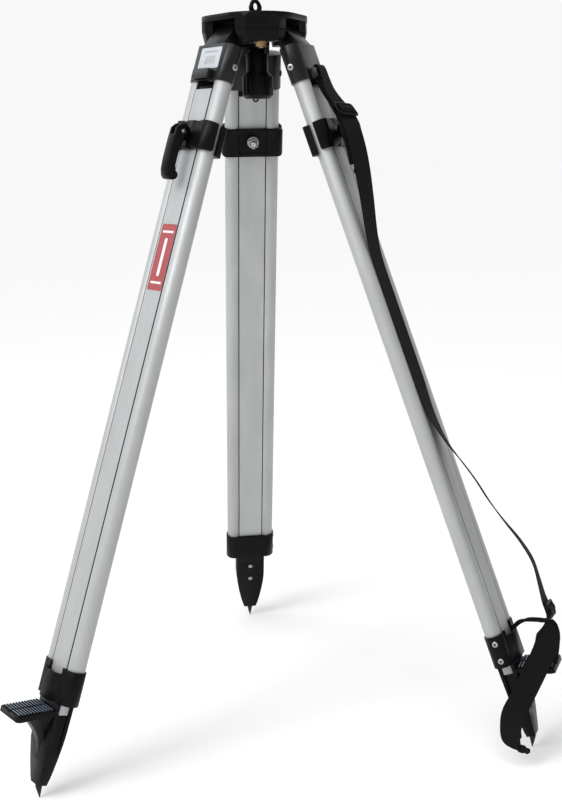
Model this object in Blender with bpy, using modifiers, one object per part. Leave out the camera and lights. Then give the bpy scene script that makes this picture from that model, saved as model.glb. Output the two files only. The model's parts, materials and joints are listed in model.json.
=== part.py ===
"""Surveyor's tripod: three telescoping aluminium legs hinged to a round-cornered head.

Units are metres and +Z is up. The origin is on the tripod's axis, on the ground plane that the
three spikes stand on. Each leg is built once, in a leg frame: X runs across the leg, Y points out
of its outer face from the leg's middle plane, and Z runs up the leg with 0 at the hinge pin. The
leg's stations are therefore given as distances below the hinge.
"""
import bpy
import bmesh
from math import acos, atan2, cos, degrees, pi, radians, sin, sqrt, tau
from mathutils import Matrix, Vector

MM = 0.001
GAP = 0.3 * MM                      # clearance between pieces that touch

# ---- stance ------------------------------------------------------------------------------
SPLAY = radians(19.567)             # angle of a standing leg to the vertical
HINGE_R = 41 * MM                   # hinge pins, from the tripod's axis
HINGE_OFF = 9.5 * MM                # hinge pin, inside of the leg's middle plane
LEGS = {"rear": 90, "left": 210, "right": 330}
BLOCKS = {"front": 270, "left": 150, "right": 30}

# ---- upper leg ---------------------------------------------------------------------------
TUBE_X = 27.4 * MM                  # tube centres, each side of the middle
TUBE_R = 11.6 * MM
TUBE_WALL = 1.3 * MM
TUBE_LIP = 20.5 * MM                # where a tube's open side is cut, from the middle
TUBE_TOP, TUBE_END = 32 * MM, 910 * MM
SOCKET_R = TUBE_R + GAP
SHOULDER_TOP, SHOULDER_END = 27 * MM, 76 * MM
SHOULDER_R = 13.7 * MM
KNUCKLE_R = 8.4 * MM
NECK_HALF, BOSS_HALF = 22.5 * MM, 25 * MM
PIN_R, PIN_HALF = 4 * MM, 46 * MM
PIN_HOLE_R = 4.3 * MM
COLLAR_TOP, COLLAR_END = 866 * MM, 911 * MM
COLLAR_R = 13.6 * MM
COLLAR_PEAK = 21.5 * MM             # crest of the collar's outer bump

# ---- sliding lower leg -------------------------------------------------------------------
PLANK_HALF, PLANK_T = 23 * MM, 14.6 * MM
PLANK_WALL = 1.6 * MM
PLANK_TOP, PLANK_END = 86 * MM, 927 * MM
TONGUE_HALF, TONGUE_END = 15.6 * MM, 968 * MM
BOLT_Z = 151 * MM                   # the clamp bolt, below the hinge
BOLT_R, BOLT_HOLE_R = 4 * MM, 4.5 * MM
JAW_HALF = 44.2 * MM
JAW_BORE = TUBE_R + GAP
LEVER_PIN_Y, LEVER_PIN_R = 28.8 * MM, 2.8 * MM
FOOT_TOP, FOOT_END = 912.5 * MM, 1026 * MM
FOOT_HALF, FOOT_T = 24 * MM, 12.4 * MM
SPIKE_Y, SPIKE_LENGTH, SPIKE_STEM = -3 * MM, 20.1 * MM, 9 * MM

# ---- head --------------------------------------------------------------------------------
HINGE_Z = FOOT_END * cos(SPLAY) - (SPIKE_Y + HINGE_OFF) * sin(SPLAY) + SPIKE_LENGTH
PLATE_T, PLATE_LOW = 8 * MM, 13.2 * MM      # thickness, and underside above the hinge pins
PLATE_BOW, PLATE_CORNER = 24 * MM, 51 * MM  # corner centres from the axis, and corner radius
PLATE_HOLE_R = 30 * MM
CAP_DEPTH = 15.2 * MM
BLOCK_WALL = 25.5 * MM              # half the space between two blocks, where a leg's knuckle goes
BLOCK_SIDE = 33 * MM
BLOCK_FRONT = 70 * MM
CAP_BOLT_R = 55 * MM                # the caps' bolts, from the axis
ARM_T, ARM_HALF = 3.6 * MM, 14 * MM
ARM_LOW = -CAP_DEPTH - GAP - ARM_T  # arm's underside, from the hinge pins
ARM_TIP = 15 * MM                   # arm's free end, past the axis
SCREW_TRAVEL = 13 * MM              # along the arm's slot, towards its pivot
STUD_R = 7.94 * MM                  # 5/8 inch instrument screw
STUD_BORE = 8.24 * MM

# ---- carry strap, in the right leg's frame -------------------------------------------------
STRAP_T = 1.5 * MM
STRAP_BRIDGE_W = 26 * MM            # gathered, where it goes through the bridge
STRAP_W = 32 * MM
UPPER_SLIDER_Z = 130 * MM           # the upper slider, below the hinge
TIE_W, TIE_GATHERED = 32 * MM, 9 * MM

# Across, out and down in millimetres, the band's turn about the leg in degrees, and its width.
STRAP_ROUTE = [
    (4, 31.2, 121, 8, STRAP_W), (2, 25.5, 99, 3, STRAP_W), (0, 19.4, 84, 0, STRAP_BRIDGE_W),
    (0, 17.2, 75, 0, STRAP_BRIDGE_W), (0, 17.2, 66, 0, STRAP_BRIDGE_W),
    (0, 18.3, 60.8, 0, STRAP_BRIDGE_W), (0, 20.7, 59.4, 0, STRAP_BRIDGE_W),
    (0, 23.1, 60.8, 0, STRAP_BRIDGE_W), (0, 24.4, 66, 0, STRAP_BRIDGE_W),
    (0, 26.4, 78, 1, STRAP_BRIDGE_W), (2, 30.5, 96, 4, STRAP_W), (5, 35.6, 117, 10, STRAP_W),
    (12, 40.6, 137, 13, STRAP_W), (23, 44.6, 157, 15, STRAP_W), (26, 43.6, 184, 15, STRAP_W),
    (25, 39.2, 213, 14, STRAP_W), (22, 31.0, 250, 12, STRAP_W), (18, 21.5, 289, 10, STRAP_W),
    (15, 15.6, 322, 6, STRAP_W), (14, 14.2, 362, 5, STRAP_W), (14, 14.0, 430, 5, STRAP_W),
    (14, 14.0, 500, 5, STRAP_W), (14, 14.4, 540, 0, STRAP_W), (12, 17.4, 572, -10, STRAP_W),
    (10.5, 23.5, 600, -18, STRAP_W), (10, 32.5, 625, -22, STRAP_W),
    (9.5, 42.5, 655, -22, STRAP_W), (10, 51, 687, -22, STRAP_W), (10.4, 62, 719, -20, STRAP_W),
    (10.7, 74.6, 751, -16, STRAP_W), (10.3, 82, 782, -12, STRAP_W),
    (10.6, 81.4, 811, -8, STRAP_W), (12.5, 80.4, 836, -4, STRAP_W), (14.5, 83, 855, 0, STRAP_W),
]
# The tie strap hangs from the lower slider past the side of the foot, gathered at both ends.
TIE_ROUTE = [
    (15, 82, 862, 66, TIE_GATHERED), (16, 79.5, 871, 66, 0.6 * TIE_W),
    (18.5, 74, 884, 66, TIE_W), (24, 65.5, 898, 66, TIE_W), (32, 52.5, 914, 66, TIE_W),
    (42, 34, 935, 66, TIE_W), (51, 15.5, 955, 68, TIE_W), (58.5, -1, 971, 84, TIE_W),
    (63.5, -10.5, 987, 100, TIE_W), (66, -13.5, 1001, 105, TIE_W),
    (66, -9, 1011, 100, 0.65 * TIE_W), (66, -4, 1018, 95, TIE_GATHERED),
]
TETHER_ROUTE = [
    (15, 81, 863), (14, 72, 865.5), (10, 60, 864), (6, 46, 862.5), (3, 34, 864), (1, 26, 868),
    (0, 21.6, 871),
]

COLOURS = {
    "aluminium": ((0.56, 0.58, 0.59), 0.42, 1.0),
    "casting": ((0.018, 0.018, 0.020), 0.38, 0.0),
    "plastic": ((0.022, 0.022, 0.024), 0.50, 0.0),
    "steel": ((0.55, 0.55, 0.54), 0.30, 1.0),
    "brass": ((0.55, 0.40, 0.16), 0.35, 1.0),
    "webbing": ((0.012, 0.012, 0.013), 0.90, 0.0),
}


# ---- building helpers --------------------------------------------------------------------

def clear_scene():
    for obj in list(bpy.data.objects):
        bpy.data.objects.remove(obj, do_unlink=True)


def new_collection(name):
    collection = bpy.data.collections.new(name)
    bpy.context.scene.collection.children.link(collection)
    return collection


def make_material(name, kind):
    colour, roughness, metallic = COLOURS[kind]
    material = bpy.data.materials.new(name)
    material.use_nodes = True
    shader = material.node_tree.nodes["Principled BSDF"]
    shader.inputs["Base Color"].default_value = (*colour, 1.0)
    shader.inputs["Roughness"].default_value = roughness
    shader.inputs["Metallic"].default_value = metallic
    return material


def arc(x, y, radius, start, end, steps):
    """Points on a circle about (x, y), from start to end in degrees."""
    angles = [radians(start + (end - start) * i / steps) for i in range(steps + 1)]
    return [(x + radius * cos(a), y + radius * sin(a)) for a in angles]


def ring(x, y, radius, steps):
    return arc(x, y, radius, 0, 360, steps)[:-1]


def mirrored(half):
    """An outline that is symmetric about x = 0, from its right half listed bottom to top."""
    return half + [(-x, y) for x, y in reversed(half)]


def rounded_box(x0, y0, x1, y1, radius, steps=3):
    return (arc(x1 - radius, y0 + radius, radius, -90, 0, steps)
            + arc(x1 - radius, y1 - radius, radius, 0, 90, steps)
            + arc(x0 + radius, y1 - radius, radius, 90, 180, steps)
            + arc(x0 + radius, y0 + radius, radius, 180, 270, steps))


FACING = {
    "z": Matrix(((1, 0, 0), (0, 1, 0), (0, 0, 1))),     # outline in X and Y
    "y": Matrix(((1, 0, 0), (0, 0, -1), (0, 1, 0))),    # outline in X and Z
    "x": Matrix(((0, 0, 1), (1, 0, 0), (0, 1, 0))),     # outline in Y and Z
}


def laid(facing, middle):
    """Turns a solid that is made about the XY plane, and moves its middle along the new axis."""
    sign = -1 if facing == "y" else 1
    return FACING[facing].to_4x4() @ Matrix.Translation((0, 0, sign * middle))


def mesh_object(name, mesh):
    obj = bpy.data.objects.new(name, mesh)
    CUTTERS.objects.link(obj)
    obj.display_type = "WIRE"
    obj.hide_render = True
    return obj


def frozen(obj, weld=True):
    """The object as a plain mesh object: modifiers applied, loose caps welded."""
    bpy.context.view_layer.update()
    evaluated = obj.evaluated_get(bpy.context.evaluated_depsgraph_get())
    mesh = bpy.data.meshes.new_from_object(evaluated)
    mesh.transform(obj.matrix_world)
    if weld:
        edit = bmesh.new()
        edit.from_mesh(mesh)
        bmesh.ops.remove_doubles(edit, verts=edit.verts, dist=0.00001)
        edit.to_mesh(mesh)
        edit.free()
    name = obj.name
    bpy.data.objects.remove(obj, do_unlink=True)
    return mesh_object(name, mesh)


def prism(outlines, low, high, facing="z"):
    """Flat outlines, the first one solid and the rest holes, given a thickness low to high."""
    curve = bpy.data.curves.new("outline", "CURVE")
    curve.dimensions = "2D"
    curve.fill_mode = "BOTH"
    curve.extrude = (high - low) / 2
    for points in outlines:
        spline = curve.splines.new("POLY")
        spline.points.add(len(points) - 1)
        for point, (a, b) in zip(spline.points, points):
            point.co = (a, b, 0, 1)
        spline.use_cyclic_u = True
    obj = mesh_object("outline", curve)
    obj.matrix_world = laid(facing, (low + high) / 2)
    return frozen(obj)


def block(x0, x1, y0, y1, z0, z1):
    bpy.ops.mesh.primitive_cube_add(size=1)
    obj = bpy.context.object
    size = Matrix.Diagonal((x1 - x0, y1 - y0, z1 - z0, 1))
    obj.data.transform(Matrix.Translation(((x0 + x1) / 2, (y0 + y1) / 2, (z0 + z1) / 2)) @ size)
    return mesh_only(obj)


def mesh_only(obj):
    """Move a fresh primitive into the cutters' collection."""
    for collection in list(obj.users_collection):
        collection.objects.unlink(obj)
    CUTTERS.objects.link(obj)
    obj.display_type = "WIRE"
    obj.hide_render = True
    return obj


def rod(radius, low, high, axis="z", at=(0, 0, 0), sides=16):
    """A cylinder from low to high along an axis."""
    bpy.ops.mesh.primitive_cylinder_add(vertices=sides, radius=radius, depth=high - low)
    obj = bpy.context.object
    obj.data.transform(Matrix.Translation(at) @ laid(axis, (low + high) / 2))
    return mesh_only(obj)


def turned(profile, steps):
    """A profile of (radius, height) points, listed down its outer side, turned about Z."""
    mesh = bpy.data.meshes.new("profile")
    points = [(r, 0, z) for r, z in profile]
    mesh.from_pydata(points, [(i, i + 1) for i in range(len(points) - 1)], [])
    obj = mesh_object("turned", mesh)
    screw = obj.modifiers.new("Screw", "SCREW")
    screw.steps = steps
    screw.render_steps = steps
    screw.use_merge_vertices = True
    screw.merge_threshold = 0.00001
    screw.use_smooth_shade = False
    return frozen(obj)


def wire(points, radius):
    """A round wire along a line of points."""
    curve = bpy.data.curves.new("wire", "CURVE")
    curve.dimensions = "3D"
    curve.bevel_depth = radius
    curve.bevel_resolution = 2
    curve.use_fill_caps = True
    spline = curve.splines.new("POLY")
    spline.points.add(len(points) - 1)
    for point, co in zip(spline.points, points):
        point.co = (*co, 1)
    return frozen(mesh_object("wire", curve))


def combine(obj, other, operation):
    """Apply a Boolean with another solid, which is used up."""
    modifier = obj.modifiers.new("Boolean", "BOOLEAN")
    modifier.operation = operation
    modifier.solver = "EXACT"
    modifier.object = other
    result = frozen(obj, weld=False)
    bpy.data.objects.remove(other, do_unlink=True)
    return result


def cut(obj, *others):
    for other in others:
        obj = combine(obj, other, "DIFFERENCE")
    return obj


def join(obj, *others):
    for other in others:
        obj = combine(obj, other, "UNION")
    return obj


def common(obj, other):
    return combine(obj, other, "INTERSECT")


def place(solid, name, kind, parent=None, location=(0, 0, 0), rotation=(0, 0, 0), keep=False):
    """Turn a finished solid into a named part. With keep, the solid can be placed again."""
    mesh = solid.data
    mesh.shade_smooth()
    mesh.set_sharp_from_angle(angle=radians(35))
    if not mesh.materials:
        mesh.materials.append(None)
    part = bpy.data.objects.new(name, mesh)
    PARTS.objects.link(part)
    part.material_slots[0].link = "OBJECT"
    part.material_slots[0].material = make_material(name, kind)
    part.parent = parent
    part.location = location
    part.rotation_euler = rotation
    if not keep:
        bpy.data.objects.remove(solid, do_unlink=True)
    return part


def empty(name, location=(0, 0, 0), rotation=(0, 0, 0), parent=None):
    obj = bpy.data.objects.new(name, None)
    PARTS.objects.link(obj)
    obj.parent = parent
    obj.location = location
    obj.rotation_euler = rotation
    return obj


# ---- upper leg ---------------------------------------------------------------------------

def tube_arc(side, radius, start, end, steps):
    """An arc about a tube's centre. Angles run from the outer side of the leg."""
    return [(side * (TUBE_X + radius * cos(radians(a))), radius * sin(radians(a)))
            for a in (start + (end - start) * i / steps for i in range(steps + 1))]


def make_tube(side):
    """A C-shaped tube whose open side faces the plank that runs in it."""
    reach = TUBE_X - TUBE_LIP
    outer = degrees(pi - acos(reach / TUBE_R))
    inner_r = TUBE_R - TUBE_WALL
    inner = degrees(pi - acos(reach / inner_r))
    section = (tube_arc(side, TUBE_R, -outer, outer, 18)
               + tube_arc(side, inner_r, inner, -inner, 14))
    return prism([section], -TUBE_END, -TUBE_TOP)


def make_shoulder():
    """The casting that holds both tubes and carries the hinge knuckle and the strap bridge."""
    stadium = (arc(TUBE_X, 0, SHOULDER_R, -90, 90, 10)
               + arc(-TUBE_X, 0, SHOULDER_R, 90, 270, 10))
    body = prism([stadium], -SHOULDER_END, -SHOULDER_TOP)
    outer_slope = degrees(atan2(0.39, 1.0))
    neck = (arc(-HINGE_OFF, 0, KNUCKLE_R, 180 + 8, outer_slope, 8)
            + [(12.2 * MM, -26 * MM), (12.2 * MM, -30 * MM),
               (-SHOULDER_R, -30 * MM), (-SHOULDER_R, -26 * MM)])
    bosses = rod(KNUCKLE_R, -BOSS_HALF, BOSS_HALF, "x", (0, -HINGE_OFF, 0), 16)
    bridge = block(-18 * MM, 18 * MM, 12 * MM, 22 * MM, -77 * MM + 1.5 * MM, -63 * MM)
    slot = block(-14.5 * MM, 14.5 * MM, 15 * MM, 19.5 * MM, -85 * MM, -55 * MM)
    body = join(body, prism([neck], -NECK_HALF, NECK_HALF, "x"), bosses, bridge)
    pin_hole = rod(PIN_HOLE_R, -BOSS_HALF - MM, BOSS_HALF + MM, "x", (0, -HINGE_OFF, 0), 16)
    sockets = [rod(SOCKET_R, -SHOULDER_END - MM, -TUBE_TOP + GAP, "z", (side * TUBE_X, 0, 0), 20)
               for side in (-1, 1)]
    recess = block(-12 * MM, 12 * MM, -9 * MM, 9 * MM, -SHOULDER_END - MM, -44 * MM)
    return cut(body, slot, pin_hole, recess, *sockets)


def make_collar():
    """The guide at the tubes' lower ends: both tubes end in it and the plank slides through."""
    facet = (24 * MM, 12.6 * MM)
    outer = mirrored([(TUBE_X, -COLLAR_R)] + arc(TUBE_X, 0, COLLAR_R, -75, 75, 8)
                     + [facet, (12 * MM, COLLAR_PEAK)])
    lip = degrees(pi - acos((TUBE_X - TUBE_LIP) / SOCKET_R))
    lip_y = sqrt(SOCKET_R ** 2 - (TUBE_X - TUBE_LIP) ** 2)
    inner = mirrored(tube_arc(1, SOCKET_R, -lip, lip, 12)
                     + [(19.6 * MM, lip_y + 0.6 * MM), (10.6 * MM, COLLAR_PEAK - 1.9 * MM)])
    body = prism([outer, inner], -COLLAR_END, -COLLAR_TOP)
    step = block(-40 * MM, 40 * MM, COLLAR_R + 0.2 * MM, 30 * MM, -COLLAR_TOP - 8 * MM, -850 * MM)
    tab = prism([[(-28 * MM, -COLLAR_END + 5 * MM), (-18 * MM, -COLLAR_END - 8 * MM),
                  (18 * MM, -COLLAR_END - 8 * MM), (28 * MM, -COLLAR_END + 5 * MM)]],
                -COLLAR_R, -COLLAR_R + 1.0 * MM, "y")
    return join(cut(body, step), tab)


# ---- lower leg ---------------------------------------------------------------------------

def make_plank():
    """A flat hollow extrusion with two webs, narrowed to a tongue where the foot takes it."""
    half_t = PLANK_T / 2
    outside = rounded_box(-PLANK_HALF, -half_t, PLANK_HALF, half_t, 2 * MM, 2)
    web = 13.2 * MM
    cell_y = half_t - PLANK_WALL
    cells = [[(-web, -cell_y), (web, -cell_y), (web, cell_y), (-web, cell_y)]]
    for side in (-1, 1):
        x0, x1 = side * (web + PLANK_WALL), side * (PLANK_HALF - PLANK_WALL)
        cells.append([(x0, -cell_y), (x1, -cell_y), (x1, cell_y), (x0, cell_y)])
    plank = prism([outside] + cells, -TONGUE_END, -PLANK_TOP)
    sides = [block(min(s * TONGUE_HALF, s * 30 * MM), max(s * TONGUE_HALF, s * 30 * MM),
                   -PLANK_T, PLANK_T, -TONGUE_END - MM, -PLANK_END) for s in (-1, 1)]
    hole = rod(BOLT_HOLE_R, -PLANK_T, PLANK_T, "y", (0, 0, -BOLT_Z), 12)
    return cut(plank, hole, *sides)


def make_plank_cap():
    """The plug in the plank's upper end."""
    half_t = PLANK_T / 2
    head = prism([rounded_box(-PLANK_HALF, -half_t, PLANK_HALF, half_t, 2 * MM, 2)],
                 -PLANK_TOP + GAP, -PLANK_TOP + 5 * MM)
    spigot = block(-12.8 * MM, 12.8 * MM, -5.3 * MM, 5.3 * MM, -PLANK_TOP - 9 * MM,
                   -PLANK_TOP + 2 * MM)
    return join(head, spigot)


def make_outer_jaw():
    """The clamp's outer jaw wraps the tubes and carries the seat that the lever's cam presses."""
    outer = mirrored(arc(TUBE_X, 0, JAW_HALF - TUBE_X, 4, 130, 9)
                     + [(9 * MM, 12.5 * MM), (9 * MM, 16.5 * MM)])
    inner = mirrored(tube_arc(1, JAW_BORE, 6, 125, 8) + [(18 * MM, 9.8 * MM)])
    jaw = prism([outer + list(reversed(inner))], -170 * MM, -131.5 * MM)
    face = prism([rounded_box(-JAW_HALF - MM, -169.6 * MM, JAW_HALF + MM, -131.6 * MM, 5 * MM)],
                 -30 * MM, 30 * MM, "y")
    hole = rod(BOLT_HOLE_R, 5 * MM, 20 * MM, "y", (0, 0, -BOLT_Z), 12)
    return cut(common(jaw, face), hole)


def make_inner_jaw():
    """The clamp's inner jaw, a shell with a recessed panel that the bolt's nut bears on."""
    corner = 8.5 * MM
    half = (arc(JAW_HALF - corner, -16.5 * MM + corner, corner, -90, 0, 4)
            + [(JAW_HALF, -6 * MM)]
            + tube_arc(1, JAW_BORE, -30, -125, 7)
            + [(18 * MM, -9.8 * MM)])
    jaw = prism([mirrored(half)], -174 * MM, -132 * MM)
    face = prism([rounded_box(-JAW_HALF - MM, -173.6 * MM, JAW_HALF + MM, -132.6 * MM, 6 * MM)],
                 -30 * MM, 30 * MM, "y")
    panel = block(-20 * MM, 20 * MM, -20 * MM, -15 * MM, -168 * MM, -138 * MM)
    hole = rod(BOLT_HOLE_R, -20 * MM, -5 * MM, "y", (0, 0, -BOLT_Z), 12)
    return cut(common(jaw, face), panel, hole)


def make_clamp_bolt():
    """The eye bolt that draws the jaws together, with its lock nut. Its origin is the eye."""
    eye = rod(6 * MM, -4 * MM, 4 * MM, "x", sides=16)
    shank = rod(BOLT_R, -56 * MM, -4 * MM, "y", sides=12)
    nut = rod(7.5 * MM, -54.5 * MM, -47.5 * MM, "y", sides=6)
    washer = rod(8.3 * MM, -47.8 * MM, -44 * MM, "y", sides=16)
    hole = rod(LEVER_PIN_R + GAP / 2, -5 * MM, 5 * MM, "x", sides=16)
    return cut(join(shank, eye, nut, washer), hole)


def make_clamp_lever():
    """The quick-clamp lever. Its origin is its pin; the boss round the pin is the cam."""
    cam = arc(0, 0, 12 * MM, 205, 175, 3) + arc(0, 0, 10.4 * MM, 150, 60, 6)
    back = [(10.6 * MM, 2 * MM), (11.2 * MM, -12 * MM), (11.2 * MM, -40 * MM),
            (10.2 * MM, -54 * MM), (7.4 * MM, -62 * MM), (3.6 * MM, -65.4 * MM),
            (-1.6 * MM, -65 * MM), (-6.2 * MM, -62 * MM), (-7.8 * MM, -58 * MM),
            (-6.4 * MM, -54.5 * MM), (-2.6 * MM, -52 * MM), (-0.6 * MM, -46 * MM),
            (-0.4 * MM, -22 * MM), (-3 * MM, -13 * MM), (-8 * MM, -9 * MM)]
    outline = cam + back
    lever = prism([outline], -8 * MM, 8 * MM, "x")
    fork = block(-4.4 * MM, 4.4 * MM, -20 * MM, 20 * MM, -7 * MM, 20 * MM)
    hole = rod(LEVER_PIN_R + GAP / 2, -9 * MM, 9 * MM, "x", sides=16)
    return cut(lever, fork, hole)


def make_foot():
    """The foot casting: a tapered shoe on the plank's tongue, with a ribbed tread plate."""
    front = mirrored([(10 * MM, -FOOT_END), (13 * MM, -1018 * MM), (16.5 * MM, -1004 * MM),
                      (20 * MM, -986 * MM), (23 * MM, -966 * MM), (FOOT_HALF, -952 * MM),
                      (FOOT_HALF, -FOOT_TOP)])
    side = [(-FOOT_T, -FOOT_TOP), (-9.5 * MM, -FOOT_END), (3.5 * MM, -FOOT_END),
            (8.4 * MM, -996 * MM), (FOOT_T, -970 * MM), (FOOT_T, -FOOT_TOP)]
    shoe = common(prism([front], -30 * MM, 30 * MM, "y"), prism([side], -40 * MM, 40 * MM, "x"))
    shoe = join(shoe, make_buttress(), make_tread())
    half_t = PLANK_T / 2 + GAP
    pocket = block(-40 * MM, 40 * MM, -half_t, half_t, -PLANK_END - GAP, -FOOT_TOP + 5 * MM)
    throat_half = TONGUE_HALF + GAP
    throat = block(-throat_half, throat_half, -half_t, half_t, -TONGUE_END - GAP, -920 * MM)
    grooves = [block(min(s * 20.5 * MM, s * 40 * MM), max(s * 20.5 * MM, s * 40 * MM),
                     -6.7 * MM, 6.7 * MM, -990 * MM, -920 * MM) for s in (-1, 1)]
    socket = rod(4.3 * MM, -2 * MM, SPIKE_STEM + GAP, "z", sides=12)
    socket.data.transform(spike_turn())
    return cut(shoe, pocket, throat, socket, *grooves)


def spike_turn():
    """From the spike's own frame, upright in the world, to the leg frame."""
    shift = Matrix.Translation((0, SPIKE_Y, -FOOT_END))
    return shift @ Matrix.Rotation(-SPLAY, 4, "X")


def make_tread():
    """The step plate, ribbed on top, that a surveyor presses into the ground with a boot."""
    y0, y1 = 10 * MM, 65.3 * MM
    rise = -10 * MM / (50.3 * MM)
    top0 = -922.6 * MM
    ribs = 13
    pitch = (y1 - 16 * MM) / ribs

    def top(y):
        return top0 + rise * (y - 15 * MM)

    upper = [(y0, top(y0))]
    for i in range(ribs):
        y = 16 * MM + i * pitch
        upper += [(y, top(y)), (y + 0.3 * pitch, top(y) + 1.5 * MM),
                  (y + 0.75 * pitch, top(y) + 1.5 * MM), (y + 0.95 * pitch, top(y))]
    upper.append((y1, top(y1) + 1.2 * MM))
    outline = upper + [(y1, top(y1) - 5.5 * MM), (y1 - 6 * MM, top(y1) - 5.8 * MM),
                       (y0, top(y0) - 5.8 * MM)]
    tread = prism([outline], -FOOT_HALF, FOOT_HALF, "x")
    divider = block(-1.2 * MM, 1.2 * MM, 15.5 * MM, 70 * MM, -960 * MM, -900 * MM)
    slope = Matrix.Rotation(atan2(rise, 1), 4, "X")
    floor = block(-30 * MM, 30 * MM, -10 * MM, 90 * MM, -60 * MM, 0)
    floor.data.transform(Matrix.Translation((0, 15 * MM, top0 + 0.1 * MM)) @ slope)
    return cut(tread, cut(divider, floor))


def make_buttress():
    """The web under the tread, lofted from its full width down to a point on the shoe."""
    high, low = -925 * MM, -990 * MM
    edit = bmesh.new()
    rings = []
    steps = 7
    for i in range(steps + 1):
        t = i / steps
        z = high + (low - high) * t
        reach = 10 * MM + 40 * MM * (1 - t) ** 1.9
        half = 21.5 * MM * (1 - t) ** 0.75 + 0.6 * MM
        back = 2 * MM
        section = [(-half, back), (half, back), (half, back + 0.7 * (reach - back)),
                   (0.55 * half, reach), (-0.55 * half, reach), (-half, back + 0.7 * (reach - back))]
        tilt = -0.2 * (1 - t)
        rings.append([edit.verts.new((x, y, z + tilt * (y - back))) for x, y in section])
    count = len(rings[0])
    for upper, lower in zip(rings, rings[1:]):
        for i in range(count):
            j = (i + 1) % count
            edit.faces.new((upper[i], lower[i], lower[j], upper[j]))
    edit.faces.new(rings[0])
    edit.faces.new(list(reversed(rings[-1])))
    bmesh.ops.triangulate(edit, faces=edit.faces)
    bmesh.ops.recalc_face_normals(edit, faces=edit.faces)
    mesh = bpy.data.meshes.new("buttress")
    edit.to_mesh(mesh)
    edit.free()
    return mesh_object("buttress", mesh)


def make_spike():
    """The hardened point, upright in its own frame with its shoulder at 0."""
    return turned([(0, SPIKE_STEM), (4 * MM, SPIKE_STEM), (4 * MM, -2 * MM),
                   (4.7 * MM, -2.4 * MM), (4.4 * MM, -5 * MM), (0.6 * MM, -SPIKE_LENGTH),
                   (0, -SPIKE_LENGTH)], 16)


# ---- head --------------------------------------------------------------------------------

def block_frame(azimuth):
    """From a frame with Y along a block's azimuth and Z up from the hinge pins, to the world."""
    return Matrix.Translation((0, 0, HINGE_Z)) @ Matrix.Rotation(radians(azimuth - 90), 4, "Z")


def block_outline():
    """The outline of a block between two legs' knuckles, widest across its chamfered front."""
    apex = BLOCK_WALL / sin(radians(60))
    slant = BLOCK_SIDE / sin(radians(60)) * cos(radians(60))
    return mirrored([(0.001 * MM, apex), (BLOCK_SIDE, apex + slant), (BLOCK_SIDE, 60 * MM),
                     (22.5 * MM, BLOCK_FRONT)])


def pin_cutters():
    """Bores for the three hinge pins, which cross the blocks in the seam between head and caps."""
    bores = []
    for azimuth in LEGS.values():
        bore = rod(PIN_HOLE_R, -PIN_HALF - GAP, PIN_HALF + GAP, "x", (0, HINGE_R, 0), 16)
        bore.data.transform(block_frame(azimuth))
        bores.append(bore)
    return bores


def make_head_plate():
    """The head casting: a round-cornered plate with three blocks under it."""
    corners = []
    for azimuth in sorted(BLOCKS.values()):
        a = radians(azimuth)
        corners += arc(PLATE_BOW * cos(a), PLATE_BOW * sin(a), PLATE_CORNER,
                       azimuth - 60, azimuth + 60, 14)
    low = HINGE_Z + PLATE_LOW
    head = prism([corners, ring(0, 0, PLATE_HOLE_R, 36)], low, low + PLATE_T)
    for azimuth in BLOCKS.values():
        lump = prism([block_outline()], GAP / 2, PLATE_LOW + 2 * MM)
        bolt = rod(PIN_HOLE_R, -MM, 7.5 * MM, "z", (0, CAP_BOLT_R, 0), 12)
        lump = cut(lump, bolt)
        lump.data.transform(block_frame(azimuth))
        head = join(head, lump)
    return cut(head, *pin_cutters())


def make_cap():
    """A hinge cap, in its block's frame: it closes the pins' bores from below and tapers down."""
    cap = prism([block_outline()], -CAP_DEPTH, -GAP / 2)
    centre = Vector((0, 48 * MM, 0))
    for vertex in cap.data.vertices:
        if vertex.co.z < -CAP_DEPTH / 2:
            flat = Vector((vertex.co.x, vertex.co.y, 0)) - centre
            vertex.co = centre + 0.88 * flat + Vector((0, 0, vertex.co.z))
    bolt = rod(PIN_HOLE_R, -CAP_DEPTH - MM, MM, "z", (0, CAP_BOLT_R, 0), 12)
    bores = []
    for turn in (-60, 60):
        bore = rod(PIN_HOLE_R, -PIN_HALF - GAP, PIN_HALF + GAP, "x", (0, HINGE_R, 0), 16)
        bore.data.transform(Matrix.Rotation(radians(turn), 4, "Z"))
        bores.append(bore)
    return cut(cap, bolt, *bores)


def make_cap_bolt(spacer):
    """A cap's stud with its washer and brass nut, hanging below the cap and any spacer."""
    face = -CAP_DEPTH - GAP - spacer
    stud = rod(4 * MM, face - 8.6 * MM, 7 * MM, sides=12)
    washer = rod(8.3 * MM, face - 1.6 * MM, face, sides=20)
    nut = rod(7.5 * MM, face - 6.8 * MM, face - 1.5 * MM, sides=6)
    return join(stud, washer, nut)


def make_arm():
    """The centring arm, along X from its pivot at the origin, slotted for the screw."""
    reach = CAP_BOLT_R
    tip = reach + ARM_TIP
    outline = (arc(0, 0, 11 * MM, 90, 270, 8) + [(24 * MM, -ARM_HALF)]
               + arc(tip - ARM_HALF, 0, ARM_HALF, -90, 90, 10) + [(24 * MM, ARM_HALF)])
    slot_r = STUD_R + GAP
    slot = (arc(reach, 0, slot_r, -90, 90, 8)
            + arc(reach - SCREW_TRAVEL, 0, slot_r, 90, 270, 8))
    top = -CAP_DEPTH - GAP
    return prism([outline, slot, ring(0, 0, PIN_HOLE_R, 12)], top - ARM_T, top)


def make_screw_stud():
    """The 5/8 inch instrument screw."""
    return turned([(0, 25.2 * MM), (6.6 * MM, 25.2 * MM), (STUD_R, 23.6 * MM),
                   (STUD_R, -42 * MM), (0, -42 * MM)], 24)


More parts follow.
